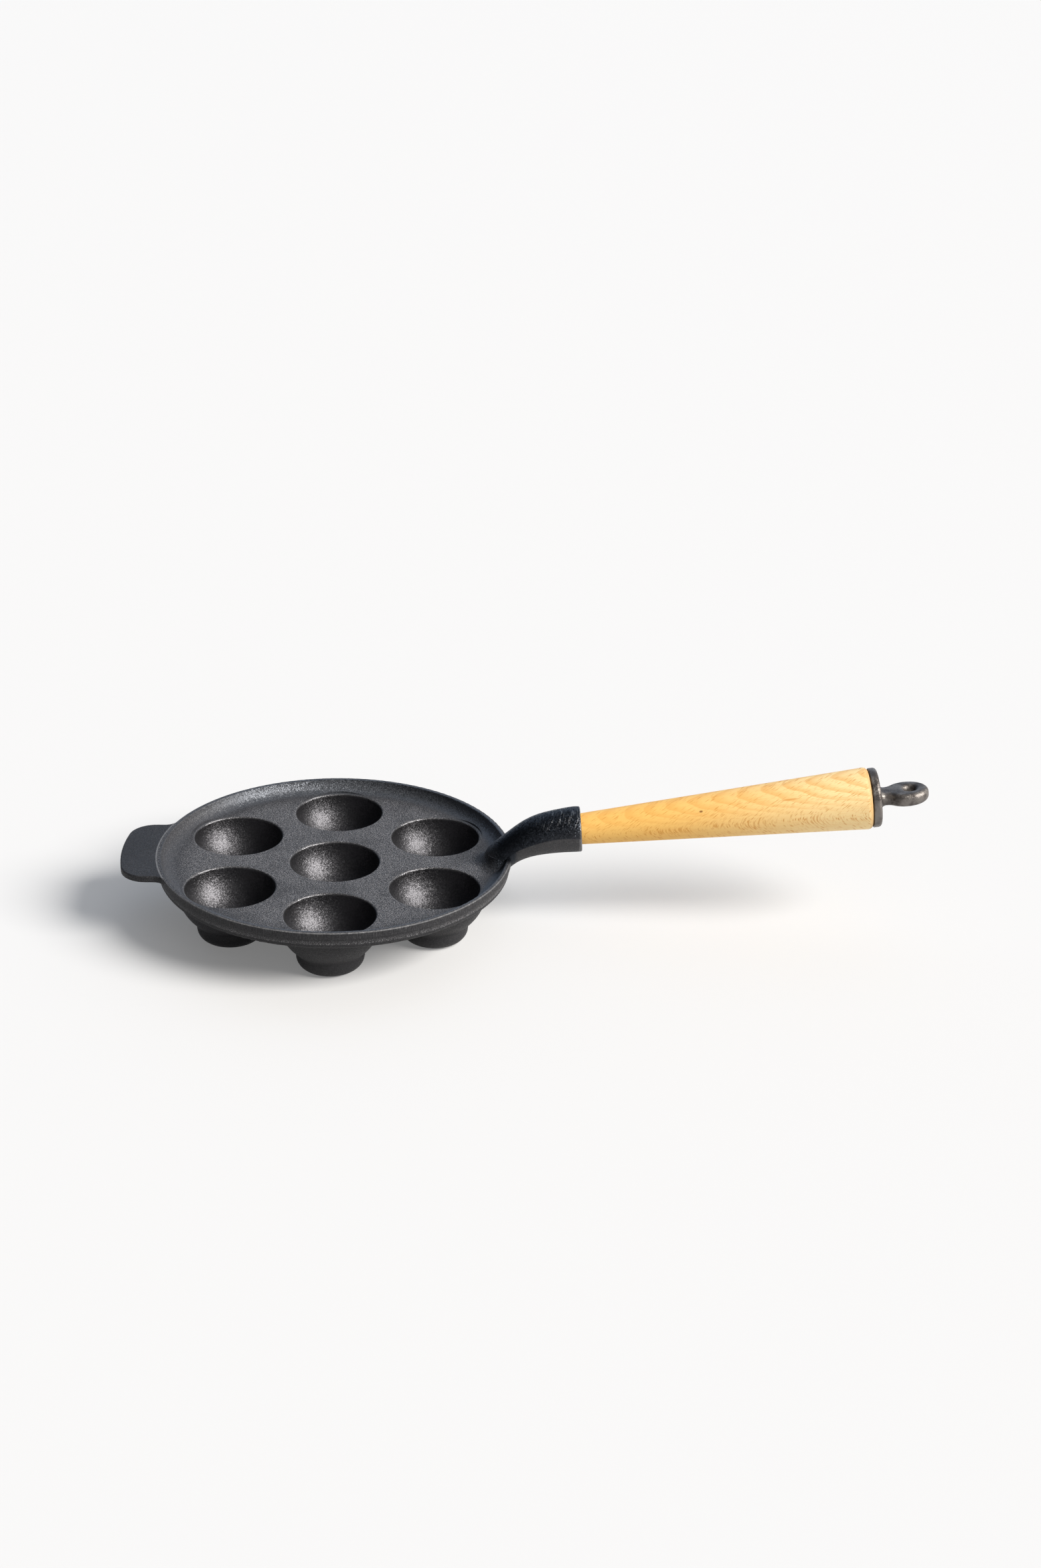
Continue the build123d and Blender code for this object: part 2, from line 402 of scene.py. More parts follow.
class RodFinish(PropertyGroup):
    """Plated steel rod with a rolled thread at both ends."""

    diameter: FloatProperty(
        name="Diameter",
        description="Outer diameter of the thread and the shank",
        default=8 * MM,
        unit="LENGTH",
    )
    pitch: FloatProperty(
        name="Pitch",
        description="Distance between two turns of the thread",
        default=1.25 * MM,
        unit="LENGTH",
    )
    thread_depth: FloatProperty(
        name="Thread depth",
        description="From the crest of the thread to its root",
        default=0.77 * MM,
        unit="LENGTH",
    )
    thread_length: FloatProperty(
        name="Thread length", description="Length of each thread", default=14 * MM, unit="LENGTH"
    )
    chamfer: FloatProperty(
        name="Chamfer", description="Chamfer on both ends", default=0.8 * MM, unit="LENGTH"
    )
    colour: FloatVectorProperty(
        name="Plating",
        description="Colour of the zinc plating",
        default=(0.62, 0.62, 0.6),
        subtype="COLOR",
        min=0,
        max=1,
    )
    dull_colour: FloatVectorProperty(
        name="Dull plating",
        description="Colour of its duller clouds",
        default=(0.4, 0.38, 0.34),
        subtype="COLOR",
        min=0,
        max=1,
    )
    cloud_size: FloatProperty(
        name="Cloud size", description="Width of its duller clouds", default=5 * MM, unit="LENGTH"
    )
    mark_size: FloatProperty(
        name="Mark size", description="Width of the rolling marks", default=0.4 * MM, unit="LENGTH"
    )
    mark_depth: FloatProperty(
        name="Mark depth", description="Depth of the rolling marks", default=0.02 * MM, unit="LENGTH"
    )
    roughness: FloatProperty(
        name="Roughness", description="Roughness of the plating", default=0.34, min=0, max=1
    )


class StudioSettings(PropertyGroup):
    """Camera, floor and light."""

    camera_place: FloatVectorProperty(
        name="Camera",
        description="Where the camera stands",
        default=(0.0685, -1.4918, 0.7711),
        subtype="TRANSLATION",
    )
    camera_aim: FloatVectorProperty(
        name="Aim",
        description="The point in the middle of the picture",
        default=(0.1200, 0, 0.0915),
        subtype="TRANSLATION",
    )
    camera_roll: FloatProperty(
        name="Roll",
        description="Turn of the camera about its view",
        default=math.radians(1.1475),
        subtype="ANGLE",
    )
    lens: FloatProperty(
        name="Lens", description="Focal length in millimetres on a 36 mm long side", default=58.53
    )
    floor_colour: FloatVectorProperty(
        name="Floor",
        description="Colour of the floor",
        default=(0.57, 0.57, 0.57),
        subtype="COLOR",
        min=0,
        max=1,
    )
    floor_reach: FloatProperty(
        name="Floor reach", description="How far the floor goes to each side", default=60, unit="LENGTH"
    )
    wall_colour: FloatVectorProperty(
        name="Walls",
        description="Colour of the studio where nothing lights it",
        default=(0.02, 0.022, 0.028),
        subtype="COLOR",
        min=0,
        max=1,
    )
    fill_colour: FloatVectorProperty(
        name="Fill light",
        description="Light from the wall round the lamp",
        default=(0.42, 0.41, 0.4),
        subtype="COLOR",
        min=0,
        max=1,
    )
    fill_edge: FloatProperty(
        name="Fill edge",
        description="Cosine of the angle from the lamp where the fill light ends",
        default=-0.2,
    )
    back_colour: FloatVectorProperty(
        name="Back light",
        description="Light from the wall behind the pan",
        default=(0.5, 0.62, 0.8),
        subtype="COLOR",
        min=0,
        max=1,
    )
    back_edge: FloatProperty(
        name="Back edge",
        description="Cosine of the angle from its middle where the back light ends",
        default=0.55,
    )
    back_elevation: FloatProperty(
        name="Back elevation",
        description="Height of the middle of the back light",
        default=math.radians(25),
        subtype="ANGLE",
    )
    floor_glow: FloatProperty(
        name="Floor glow",
        description="What the floor adds to its own picture, without lighting the pan",
        default=0.17,
    )
    key_colour: FloatVectorProperty(
        name="Key colour",
        description="Colour of the large lamp",
        default=(1.0, 0.97, 0.93),
        subtype="COLOR",
        min=0,
        max=1,
    )
    key_azimuth: FloatProperty(
        name="Key azimuth",
        description="Where the large lamp stands, from the handle's direction",
        default=math.radians(-20),
        subtype="ANGLE",
    )
    key_elevation: FloatProperty(
        name="Key elevation",
        description="How high the large lamp stands",
        default=math.radians(37),
        subtype="ANGLE",
    )
    key_spread: FloatProperty(
        name="Key spread",
        description="How large the large lamp looks from the pan",
        default=math.radians(34),
        subtype="ANGLE",
    )
    key_strength: FloatProperty(name="Key light", description="Strength of the large lamp", default=5.4)


class PanSettings(PropertyGroup):
    """Everything that the sidebar shows."""

    sizes: PointerProperty(type=PanSizes)
    iron: PointerProperty(type=IronFinish)
    cap: PointerProperty(type=CapFinish)
    beech: PointerProperty(type=BeechFinish)
    rod: PointerProperty(type=RodFinish)
    studio: PointerProperty(type=StudioSettings)


def opaque(colour):
    """A colour with full alpha."""
    return (*colour[:3], 1)


class Recipe:
    """A material under construction. Each call adds a node and gives back one of its outputs."""

    def __init__(self, name):
        self.material = bpy.data.materials.new(name)
        self.material.use_nodes = True
        self.tree = self.material.node_tree
        self.tree.nodes.clear()
        self.position = self.node("ShaderNodeTexCoord").outputs["Object"]

    def feed(self, socket, value):
        """Links an input to another node's output, or sets its value."""
        if isinstance(value, bpy.types.NodeSocket):
            self.tree.links.new(value, socket)
        else:
            socket.default_value = value

    def node(self, kind, inputs=None, **settings):
        """One node, with its settings made and its inputs fed."""
        made = self.tree.nodes.new(kind)
        for name, value in settings.items():
            setattr(made, name, value)
        for name, value in (inputs or {}).items():
            self.feed(made.inputs[name], value)
        return made

    def maths(self, operation, first, second=0.0):
        """A number worked out from two numbers."""
        return self.node("ShaderNodeMath", {0: first, 1: second}, operation=operation).outputs[0]

    def both(self, first, second):
        """The product: where both masks hold, or one value scaled by the other."""
        return self.maths("MULTIPLY", first, second)

    def either(self, first, second):
        """The larger value: where one mask or the other holds."""
        return self.maths("MAXIMUM", first, second)

    def rest(self, mask):
        """Everywhere that the mask isn't."""
        return self.maths("SUBTRACT", 1, mask)

    def vector(self, operation, first, second=(0, 0, 0)):
        """A vector worked out from two vectors."""
        made = self.node("ShaderNodeVectorMath", {0: first, 1: second}, operation=operation)
        return made.outputs["Vector"]

    def measure(self, operation, first, second=(0, 0, 0)):
        """A number worked out from two vectors, such as a distance."""
        made = self.node("ShaderNodeVectorMath", {0: first, 1: second}, operation=operation)
        return made.outputs["Value"]

    def axes(self, vector):
        """The three parts of a vector."""
        parts = self.node("ShaderNodeSeparateXYZ", {0: vector})
        return parts.outputs[0], parts.outputs[1], parts.outputs[2]

    def join(self, x, y, z):
        """A vector from three parts."""
        return self.node("ShaderNodeCombineXYZ", {0: x, 1: y, 2: z}).outputs[0]

    def step(self, value, low, high):
        """0 below low and 1 above high, smooth between. With low above high it falls."""
        inputs = {"Value": value, "From Min": low, "From Max": high}
        return self.node("ShaderNodeMapRange", inputs, interpolation_type="SMOOTHSTEP").outputs[0]

    def between(self, value, low, full_low, full_high, high):
        """1 from full_low to full_high, falling smoothly to 0 at low and at high."""
        return self.both(self.step(value, low, full_low), self.step(value, high, full_high))

    def ramp(self, share, first, second):
        """One number turning into another as the share goes from 0 to 1."""
        inputs = {"Value": share, "To Min": first, "To Max": second}
        return self.node("ShaderNodeMapRange", inputs).outputs[0]

    def blend(self, share, first, second):
        """One colour turning into another as the share goes from 0 to 1."""
        made = self.node("ShaderNodeMix", {"Factor": share}, data_type="RGBA")
        for place, colour in ((MIX_FIRST, first), (MIX_SECOND, second)):
            linked = isinstance(colour, bpy.types.NodeSocket)
            self.feed(made.inputs[place], colour if linked else opaque(colour))
        return made.outputs[MIX_RESULT]

    def noise(self, vector, size, detail=2.0, roughness=0.5):
        """Noise with lumps of about that size in metres."""
        inputs = {"Vector": vector, "Scale": 1 / size, "Detail": detail, "Roughness": roughness}
        return self.node("ShaderNodeTexNoise", inputs).outputs[0]

    def cells(self, vector, size):
        """Distance to the nearest of scattered points about that far apart."""
        inputs = {"Vector": vector, "Scale": 1 / size}
        return self.node("ShaderNodeTexVoronoi", inputs).outputs["Distance"]

    def bump(self, height):
        """Lumps as high as the value says, in metres."""
        return self.node("ShaderNodeBump", {"Height": height, "Distance": 1.0}).outputs[0]

    def facets(self, normal, size, tilt):
        """Grains of that size, each leaning its own way, so that single ones catch the light."""
        inputs = {"Vector": self.position, "Scale": 1 / size}
        grains = self.node("ShaderNodeTexVoronoi", inputs).outputs["Color"]
        lean = self.vector("SUBTRACT", grains, (0.5, 0.5, 0.5))
        lean = self.node("ShaderNodeVectorMath", {0: lean, "Scale": tilt}, operation="SCALE").outputs[0]
        return self.vector("NORMALIZE", self.vector("ADD", normal, lean))

    def finish(self, **inputs):
        """Ends the recipe in one shader."""
        names = {name.replace("_", " "): value for name, value in inputs.items()}
        shader = self.node("ShaderNodeBsdfPrincipled", names)
        output = self.node("ShaderNodeOutputMaterial")
        self.tree.links.new(shader.outputs[0], output.inputs[0])
        return self.material


def near_wells(made, sizes):
    """Distance to the nearest well's sphere centre."""
    nearest = None
    for centre in opening_centres("well_"):
        place = (centre.x, centre.y, sizes.floor_height + sizes.well_rise)
        distance = made.measure("DISTANCE", made.position, place)
        nearest = distance if nearest is None else made.maths("MINIMUM", nearest, distance)
    return nearest


class IronZones:
    """Where a point of the casting is, and the zones that differ in finish as masks from 0 to 1."""

    def __init__(self, made, sizes):
        floor, cove_gloss = sizes.floor_height, 0.7
        self.x, self.y, self.z = made.axes(made.position)
        self.radius = made.measure("LENGTH", made.join(self.x, self.y, 0))
        self.above_floor = made.step(self.z, floor - 0.4 * MM, floor)
        self.find_wells(made, sizes)
        self.find_cove(made, sizes)
        self.find_neck(made, sizes)
        glossy = made.either(self.in_well, made.both(self.on_cove, cove_gloss))
        self.glossy = made.either(glossy, self.upper_neck)

    def find_wells(self, made, sizes):
        """The insides of the wells, and the lips round their mouths."""
        floor, fade = sizes.floor_height, 0.6 * MM
        edge = sizes.well_radius + sizes.lip_width
        inside = made.step(near_wells(made, sizes), edge + fade, edge)
        self.in_well = made.both(inside, made.step(self.z, floor - 0.05 * MM, floor - fade))
        self.lip = made.both(self.in_well, made.step(self.z, floor - 1.7 * MM, floor - 0.9 * MM))

    def find_cove(self, made, sizes):
        """The cove between floor and rim, duller by the tab, and the ground in front of it, which matte_iron
        paints with shade.
        """
        rim, start, full = sizes.rim_radius, sizes.cove_radius, sizes.cove_radius + 5 * MM
        by_tab, past_tab, dull_share = -108 * MM, -55 * MM, 0.35
        inner_side = made.both(made.step(self.radius, rim - 0.8 * MM, rim - 2.4 * MM), self.above_floor)
        on_cove = made.both(made.step(self.radius, start - 4 * MM, full), inner_side)
        gloss = made.ramp(made.step(self.x, by_tab, past_tab), dull_share, 1.0)
        self.on_cove = made.both(on_cove, gloss)
        self.near_cove = made.both(made.step(self.radius, start - 14 * MM, full), inner_side)

    def find_neck(self, made, sizes):
        """The neck, with its glossy side above the parting line and its smooth side below."""
        rim, crest = sizes.rim_radius, sizes.neck_crest
        before_crest = made.maths("SUBTRACT", crest[0], self.x)
        fall = made.both(made.both(before_crest, before_crest), sizes.neck_bend)
        self.over_parting = made.maths("ADD", made.maths("SUBTRACT", self.z, crest[2]), fall)
        neck_side = made.step(made.maths("ABSOLUTE", self.y), 24 * MM, 12 * MM)
        on_neck = made.both(made.step(self.x, 92 * MM, 108 * MM), neck_side)
        self.on_neck = made.both(on_neck, self.above_floor)
        past_rim = made.step(self.x, rim + 1.5 * MM, rim + 5 * MM)
        below = made.step(self.over_parting, 0.3 * MM, -0.5 * MM)
        self.under_neck = made.both(past_rim, below)
        self.upper_neck = made.both(self.on_neck, made.rest(self.under_neck))


def matte_iron(made, zones, settings, sand, clouds):
    """Colour of the matte iron: pits and pale grains, with painted shade in front of the cove, and darker outside
    the tray, partly as painted shade under the pan.
    """
    sizes, iron = settings.sizes, settings.iron
    floor, rim = sizes.floor_height, sizes.rim_radius
    pits, pale_grains = made.step(sand, 0.53, 0.38), made.step(sand, 0.5, 0.68)
    dark_clouds = made.both(made.step(clouds, 0.4, 0.7), 0.35)
    # Painted shade: the floor is painted darker in front of the cove, where floor and rim meet.
    cove_shade = made.both(zones.near_cove, 0.62)
    shade = made.blend(pits, iron.colour, iron.pit_and_shade_colour)
    shade = made.blend(pale_grains, shade, iron.pale_colour)
    shade = made.blend(dark_clouds, shade, iron.pit_and_shade_colour)
    shade = made.blend(cove_shade, shade, iron.pit_and_shade_colour)

    # Darker outside the tray and a little more so below the floor: partly the outer iron's own darker tone, partly
    # painted shade under the pan.
    over_rim = made.step(zones.radius, rim - 1.4 * MM, rim - 0.6 * MM)
    under_floor = made.step(zones.z, floor - 0.5 * MM, floor - 1.5 * MM)
    outside = made.both(made.either(over_rim, under_floor), made.rest(zones.in_well))
    darkness = made.ramp(made.step(zones.z, floor - 3 * MM, floor + 4 * MM), 0.92, 0.86)
    return made.blend(made.both(outside, darkness), shade, iron.pit_and_shade_colour)


def ground_band(made, zones, settings, shade):
    """The band ground round the rim: painted darker as shade on its upright side, with faint upright marks."""
    sizes, iron = settings.sizes, settings.iron
    rim, foot = sizes.rim_radius, sizes.rim_height - sizes.band_height
    darkness, mark_strength, stretch = 0.45, 0.14, 0.12
    band = made.between(zones.radius, rim - 1.2 * MM, rim - 0.5 * MM, rim + 0.4 * MM, rim + 1 * MM)
    band = made.both(band, made.step(zones.z, foot - 0.4 * MM, foot))
    turn = made.maths("ARCTAN2", zones.y, zones.x)
    upright = made.join(made.both(turn, rim), 0, made.both(zones.z, stretch))
    marks = made.step(made.noise(upright, 0.6 * MM), 0.5, 0.7)
    # Painted shade: the upright band is painted darker.
    shade = made.blend(made.both(band, darkness), shade, iron.pit_and_shade_colour)
    return made.blend(made.both(made.both(band, marks), mark_strength), shade, iron.pale_colour)


def glossy_iron(made, zones, iron):
    """Reflection of the thick seasoning in the wells, on the cove and on the neck."""
    shade = made.blend(zones.on_cove, iron.well_colour, iron.cove_colour)
    return made.blend(zones.upper_neck, shade, iron.neck_colour)


def rubbed_rim_and_highlight(made, zones, sizes):
    """The worn outer edge of the rim, in patches, away from the neck; partly a painted highlight along that edge.
    """
    rim, top = sizes.rim_radius, sizes.rim_height
    side = made.between(zones.radius, rim - 0.9 * MM, rim - 0.4 * MM, rim + 0.2 * MM, rim + 0.6 * MM)
    crown = made.between(zones.z, top - 0.9 * MM, top - 0.3 * MM, top + 0.2 * MM, top + 0.6 * MM)
    edge = made.both(made.both(side, crown), made.rest(zones.on_neck))
    patches = made.noise(made.position, 1.6 * MM, detail=3)
    return made.both(edge, made.ramp(patches, 0.1, 0.9))


def rubbed_neck_and_glints(made, zones, sizes):
    """Slanted rub marks on top of the neck by its mouth, partly painted glints, and the worn edge of the mouth,
    partly a painted highlight.
    """
    mouth, slope, stretch = sizes.mouth, 0.4, 0.1
    mark_strength, edge_strength = 0.6, 0.4
    # Partly painted glints: slanted bright strokes on top of the neck by its mouth.
    slant = made.maths("SUBTRACT", zones.x, made.both(zones.z, slope))
    strokes = made.join(slant, made.both(zones.y, stretch), made.both(zones.z, stretch))
    strokes = made.step(made.noise(strokes, 0.75 * MM), 0.56, 0.7)
    by_mouth = made.both(made.step(zones.x, mouth - 34 * MM, mouth - 18 * MM), zones.upper_neck)
    by_mouth = made.both(by_mouth, made.step(zones.over_parting, 4 * MM, 11 * MM))
    marks = made.both(made.both(strokes, by_mouth), mark_strength)
    # The mouth's edge: wear, partly a painted highlight.
    edge = made.both(made.step(zones.x, mouth - 0.9 * MM, mouth - 0.4 * MM), zones.on_neck)
    return made.either(marks, made.both(edge, edge_strength))


def iron_grain(made, zones, settings):
    """Lumps of seasoning under sand grains that lean further on the cove and on the neck."""
    rim, iron = settings.sizes.rim_radius, settings.iron
    peel = made.noise(made.position, iron.peel_size, roughness=0.6)
    tilt = made.ramp(zones.glossy, iron.matte_tilt, iron.gloss_tilt)
    tilt = made.maths("ADD", tilt, made.both(zones.on_cove, iron.cove_tilt))
    outer_neck = made.both(zones.upper_neck, made.step(zones.x, rim - 2 * MM, rim + 12 * MM))
    tilt = made.maths("ADD", tilt, made.both(outer_neck, iron.neck_tilt - iron.gloss_tilt))
    return made.facets(made.bump(made.both(peel, iron.peel_depth)), iron.sand_size, tilt)


def iron_material(settings):
    """Seasoned iron: matte on the floor, thick and glossy in the wells, on the cove and on the neck."""
    sizes, iron = settings.sizes, settings.iron
    thin_strength, lip_strength, rub_strength = 0.85, 0.25, 0.6
    made = Recipe("seasoned_iron_finish")
    zones = IronZones(made, sizes)
    sand = made.noise(made.position, iron.speck_size, roughness=0.6)
    clouds = made.noise(made.position, iron.cloud_size, detail=3)

    matte = matte_iron(made, zones, settings, sand, clouds)
    matte = ground_band(made, zones, settings, matte)
    thin = made.blend(made.step(sand, 0.42, 0.6), iron.colour, iron.thin_colour)
    matte = made.blend(made.both(zones.under_neck, thin_strength), matte, thin)
    shade = made.blend(zones.glossy, matte, glossy_iron(made, zones, iron))

    # Wear on the rim, the neck and the wells' lips, with a painted highlight on the rim's edge and painted glints
    # on the neck.
    wear_and_highlights = made.either(rubbed_rim_and_highlight(made, zones, sizes), rubbed_neck_and_glints(made, zones, sizes))
    wear_and_highlights = made.either(wear_and_highlights, made.both(zones.lip, lip_strength))
    wear_and_highlights = made.both(wear_and_highlights, rub_strength)
    shade = made.blend(wear_and_highlights, shade, iron.worn_and_highlight_colour)
    roughness = made.ramp(zones.glossy, iron.floor_roughness, iron.gloss_roughness)
    return made.finish(
        Base_Color=shade,
        Metallic=made.either(zones.glossy, wear_and_highlights),
        Roughness=made.maths("ADD", roughness, made.ramp(clouds, -0.05, 0.05)),
        Specular_IOR_Level=iron.specular,
        Normal=iron_grain(made, zones, settings),
    )


def cap_material(settings):
    """Bare tumbled iron under a thin lacquer, with worn lumps and darker patches."""
    cap = settings.cap
    made = Recipe("cap_iron_finish")
    lumps = made.noise(made.position, cap.lump_size)
    patches = made.noise(made.position, cap.patch_size, detail=3)
    return made.finish(
        Base_Color=made.blend(made.step(patches, 0.38, 0.66), cap.colour, cap.dark_colour),
        Metallic=cap.metal,
        Roughness=made.maths("ADD", made.ramp(lumps, 0.1, -0.1), cap.roughness),
        Normal=made.facets(made.bump(made.both(lumps, cap.lump_depth)), cap.grain_size, cap.grain_tilt),
    )


class HandlePlace:
    """Where a point of the handle is: along it, across it and up, from the middle of the wide end."""

    def __init__(self, made, beech):
        turning = joint("cap_turn")
        axis = Vector(turning["axis"]).normalized()
        up = Vector((-axis.z, 0, axis.x))
        place = made.vector("SUBTRACT", made.position, tuple(turning["pos_m"]))
        self.along = made.measure("DOT_PRODUCT", place, tuple(axis))
        self.across = made.axes(place)[1]
        self.height = made.measure("DOT_PRODUCT", place, tuple(up))
        self.radius = made.maths("ADD", made.both(self.along, beech.taper), beech.end_radius)

    def drawn_out(self, made, share):
        """The place with its length shrunk to that share, so that noise is drawn out along the handle."""
        return made.join(made.both(self.along, share), self.across, self.height)

    def facing(self, made, up_share, across_share):
        """How far round a point faces one way: 1 on that side of the cone and -1 on the other."""
        side = made.maths("ADD", made.both(self.height, up_share), made.both(self.across, across_share))
        return made.maths("DIVIDE", side, self.radius)

    def spot(self, made, place, size):
        """1 at a place on the handle, falling to 0 at that distance along it and across it."""
        full_share = 0.35
        gap = made.join(
            made.maths("DIVIDE", made.maths("SUBTRACT", self.along, place[0]), size[0]),
            made.maths("DIVIDE", made.maths("SUBTRACT", self.across, place[1]), size[1]),
            made.maths("DIVIDE", made.maths("SUBTRACT", self.height, place[2]), size[1]),
        )
        return made.step(made.measure("LENGTH", gap), 1.0, full_share)


def growth_rings(made, handle, beech):
    """The dark part of each ring: arches where the cone cuts the rings flat, hardly seen elsewhere."""
    up_share, ring_share, drift = 0.9, 0.35, 0.06
    wander = made.maths("SUBTRACT", made.noise(handle.drawn_out(made, 0.25), 12 * MM), 0.5)
    twist = made.maths("SUBTRACT", made.both(handle.along, 2.0), 0.1)
    layer = made.maths("ADD", made.both(handle.height, up_share), made.both(handle.across, twist))
    layer = made.maths("ADD", layer, made.both(wander, beech.ring_wander))
    layer = made.maths("ADD", made.both(layer, ring_share), made.both(handle.along, drift))
    ring = made.maths("FRACT", made.maths("DIVIDE", layer, beech.ring_width))
    late = made.both(made.step(ring, 0.0, 0.07), made.step(ring, 0.75, 0.1))
    flat_cut = made.step(handle.facing(made, 0.9, -0.3), 0.3, 0.95)
    return made.both(late, made.ramp(flat_cut, 0.06, 1.0))


def ray_flecks(made, handle, beech):
    """Short flecks that sweep round the cone, smaller ones between them, and curls low on the front."""
    sweep, stretch = 1.9, 0.42
    small_size, small_strength, curl_strength = 0.6, 0.65, 0.8
    face = handle.facing(made, 0.91, 0.41)
    bow = made.maths("ADD", face, 0.5)
    bow = made.maths("SQRT", made.maths("ADD", made.both(bow, bow), 0.08))
    swept = made.maths("SUBTRACT", handle.along, made.both(made.both(bow, handle.radius), sweep))
    flow = made.join(swept, made.both(made.both(face, handle.radius), stretch), 0)

    flecks = made.step(made.cells(flow, beech.fleck_spacing), 0.36, 0.14)
    flecks = made.both(flecks, made.step(made.noise(flow, 5 * MM, detail=3), 0.3, 0.55))
    small = made.step(made.cells(flow, beech.fleck_spacing * small_size), 0.36, 0.16)
    small = made.both(small, made.step(made.noise(flow, 3 * MM), 0.6, 0.42))
    flecks = made.either(flecks, made.both(small, small_strength))

    strands = made.noise(made.join(swept, made.both(face, 3 * MM), 0), 1.1 * MM, detail=1)
    patches = made.noise(handle.drawn_out(made, 0.25), 7 * MM, detail=1)
    curls = made.both(made.step(strands, 0.5, 0.66), made.step(patches, 0.44, 0.58))
    curls = made.both(curls, made.between(face, -0.85, -0.6, -0.4, -0.1))
    return made.either(flecks, made.both(curls, curl_strength))


def beech_material(settings):
    """Beech turned out of a straight board and oiled, with a knot and a brown streak, painted light towards the
    wide end and painted shade on the rounded wide end.
    """
    beech = settings.beech
    ring_strength, fibre_strength, fleck_strength = 0.5, 0.4, 0.78
    streak_strength, knot_strength, end_shade_strength = 0.6, 0.85, 0.85
    made = Recipe("beech_finish")
    handle = HandlePlace(made, beech)
    late = growth_rings(made, handle, beech)
    flecks = ray_flecks(made, handle, beech)
    fibres = made.noise(handle.drawn_out(made, 0.03), 0.4 * MM, detail=3)
    broad = made.noise(handle.drawn_out(made, 0.12), 6 * MM)

    # Painted light: paler towards the wide end.
    lit_to_wide_end = made.step(handle.along, -150 * MM, 10 * MM)
    shade = made.blend(lit_to_wide_end, beech.light_colour, beech.pale_colour)
    shade = made.blend(made.both(late, ring_strength), shade, beech.dark_colour)
    shade = made.blend(made.ramp(broad, 0.0, 0.3), shade, beech.dark_colour)
    dark_fibres = made.both(made.step(fibres, 0.5, 0.8), fibre_strength)
    shade = made.blend(dark_fibres, shade, beech.dark_colour)
    shade = made.blend(made.both(flecks, fleck_strength), shade, beech.fleck_colour)
    streak = handle.spot(made, beech.streak_place, (9 * MM, 0.9 * MM))
    shade = made.blend(made.both(streak, streak_strength), shade, beech.fleck_colour)
    knot = handle.spot(made, beech.knot_place, (1.5 * MM, 1.0 * MM))
    shade = made.blend(made.both(knot, knot_strength), shade, beech.knot_colour)
    # Painted shade on the rounded wide end.
    end_shade = made.step(handle.along, -3.6 * MM, -1.3 * MM)
    shade = made.blend(made.both(end_shade, end_shade_strength), shade, beech.end_shade_colour)

    pores = made.both(made.maths("ADD", fibres, flecks), -beech.pore_depth)
    return made.finish(
        Base_Color=shade,
        Roughness=made.maths("ADD", made.ramp(fibres, -0.08, 0.1), beech.roughness),
        Specular_IOR_Level=beech.specular,
        Normal=made.bump(pores),
    )


def steel_material(settings):
    """Zinc plating, dull in clouds, with faint rolling marks."""
    rod = settings.rod
    made = Recipe("plated_steel_finish")
    marks = made.noise(made.position, rod.mark_size, detail=3)
    clouds = made.noise(made.position, rod.cloud_size)
    return made.finish(
        Base_Color=made.blend(made.ramp(clouds, 0.1, 0.5), rod.colour, rod.dull_colour),
        Metallic=1.0,
        Roughness=made.maths("ADD", made.ramp(marks, -0.1, 0.1), rod.roughness),
        Normal=made.bump(made.both(marks, rod.mark_depth)),
    )


def thread_radii(rod, rows, angles, low, high):
    """Radius of the rod at each row and angle: a right-hand thread that runs out, and a chamfer."""
    crest_share, root_share, run_out_turns = 1 / 8, 1 / 4, 1.5
    from_end = np.minimum(rows - low, high - rows)[:, None]
    turn = (rows[:, None] / rod.pitch - angles[None, :] / (2 * math.pi)) % 1.0
    from_crest = np.minimum(turn, 1 - turn) - crest_share / 2
    groove = np.clip(from_crest / ((1 - crest_share - root_share) / 2), 0, 1)
    run_out = np.clip((rod.thread_length - from_end) / (run_out_turns * rod.pitch), 0, 1)
    radii = rod.diameter / 2 - rod.thread_depth * groove * run_out
    return np.minimum(radii, rod.diameter / 2 - rod.chamfer + from_end)


def threaded_rod(rod, start, axis, low, high):
    """A round rod along the axis from low to high, measured from start, with a thread at both ends."""
    sides, rows_a_turn = 40, 10
    spacing = rod.pitch / rows_a_turn
    rows = np.arange(0, rod.thread_length + spacing, spacing)
    rows = np.concatenate([low + rows, high - rows[::-1]])
    angles = np.arange(sides) * 2 * math.pi / sides
    radii = thread_radii(rod, rows, angles, low, high)
    side = Vector((0, 1, 0))
    ring = np.outer(np.cos(angles), side) + np.outer(np.sin(angles), axis.cross(side))
    points = np.array(start) + rows[:, None, None] * np.array(axis) + radii[:, :, None] * ring

    faces = []
    for row in range(len(rows) - 1):
        for place in range(sides):
            here, there = row * sides + place, row * sides + (place + 1) % sides
            faces.append((here, there, there + sides, here + sides))
    last = (len(rows) - 1) * sides
    faces.append(tuple(reversed(range(sides))))
    faces.append(tuple(range(last, last + sides)))
    mesh = bpy.data.meshes.new("threaded_rod")
    mesh.from_pydata(points.reshape(-1, 3).tolist(), [], faces)
    mesh.polygons.foreach_set("use_smooth", [len(face) == 4 for face in faces])
    made = bpy.data.objects.new("threaded_rod", mesh)
    bpy.context.scene.collection.objects.link(made)
    return made


def dress(node, material):
    """Gives a CAD node its finish."""
    body = frame["nodes"][node]
    body.data.materials.clear()
    body.data.materials.append(material)


class PAN_OT_casting(Operator):
    """Finish the pan casting in seasoned iron"""

    bl_idname = "pan.casting"
    bl_label = "Pan Casting"

    def execute(self, context):
        dress("pan_casting", iron_material(context.scene.pan))
        return {"FINISHED"}


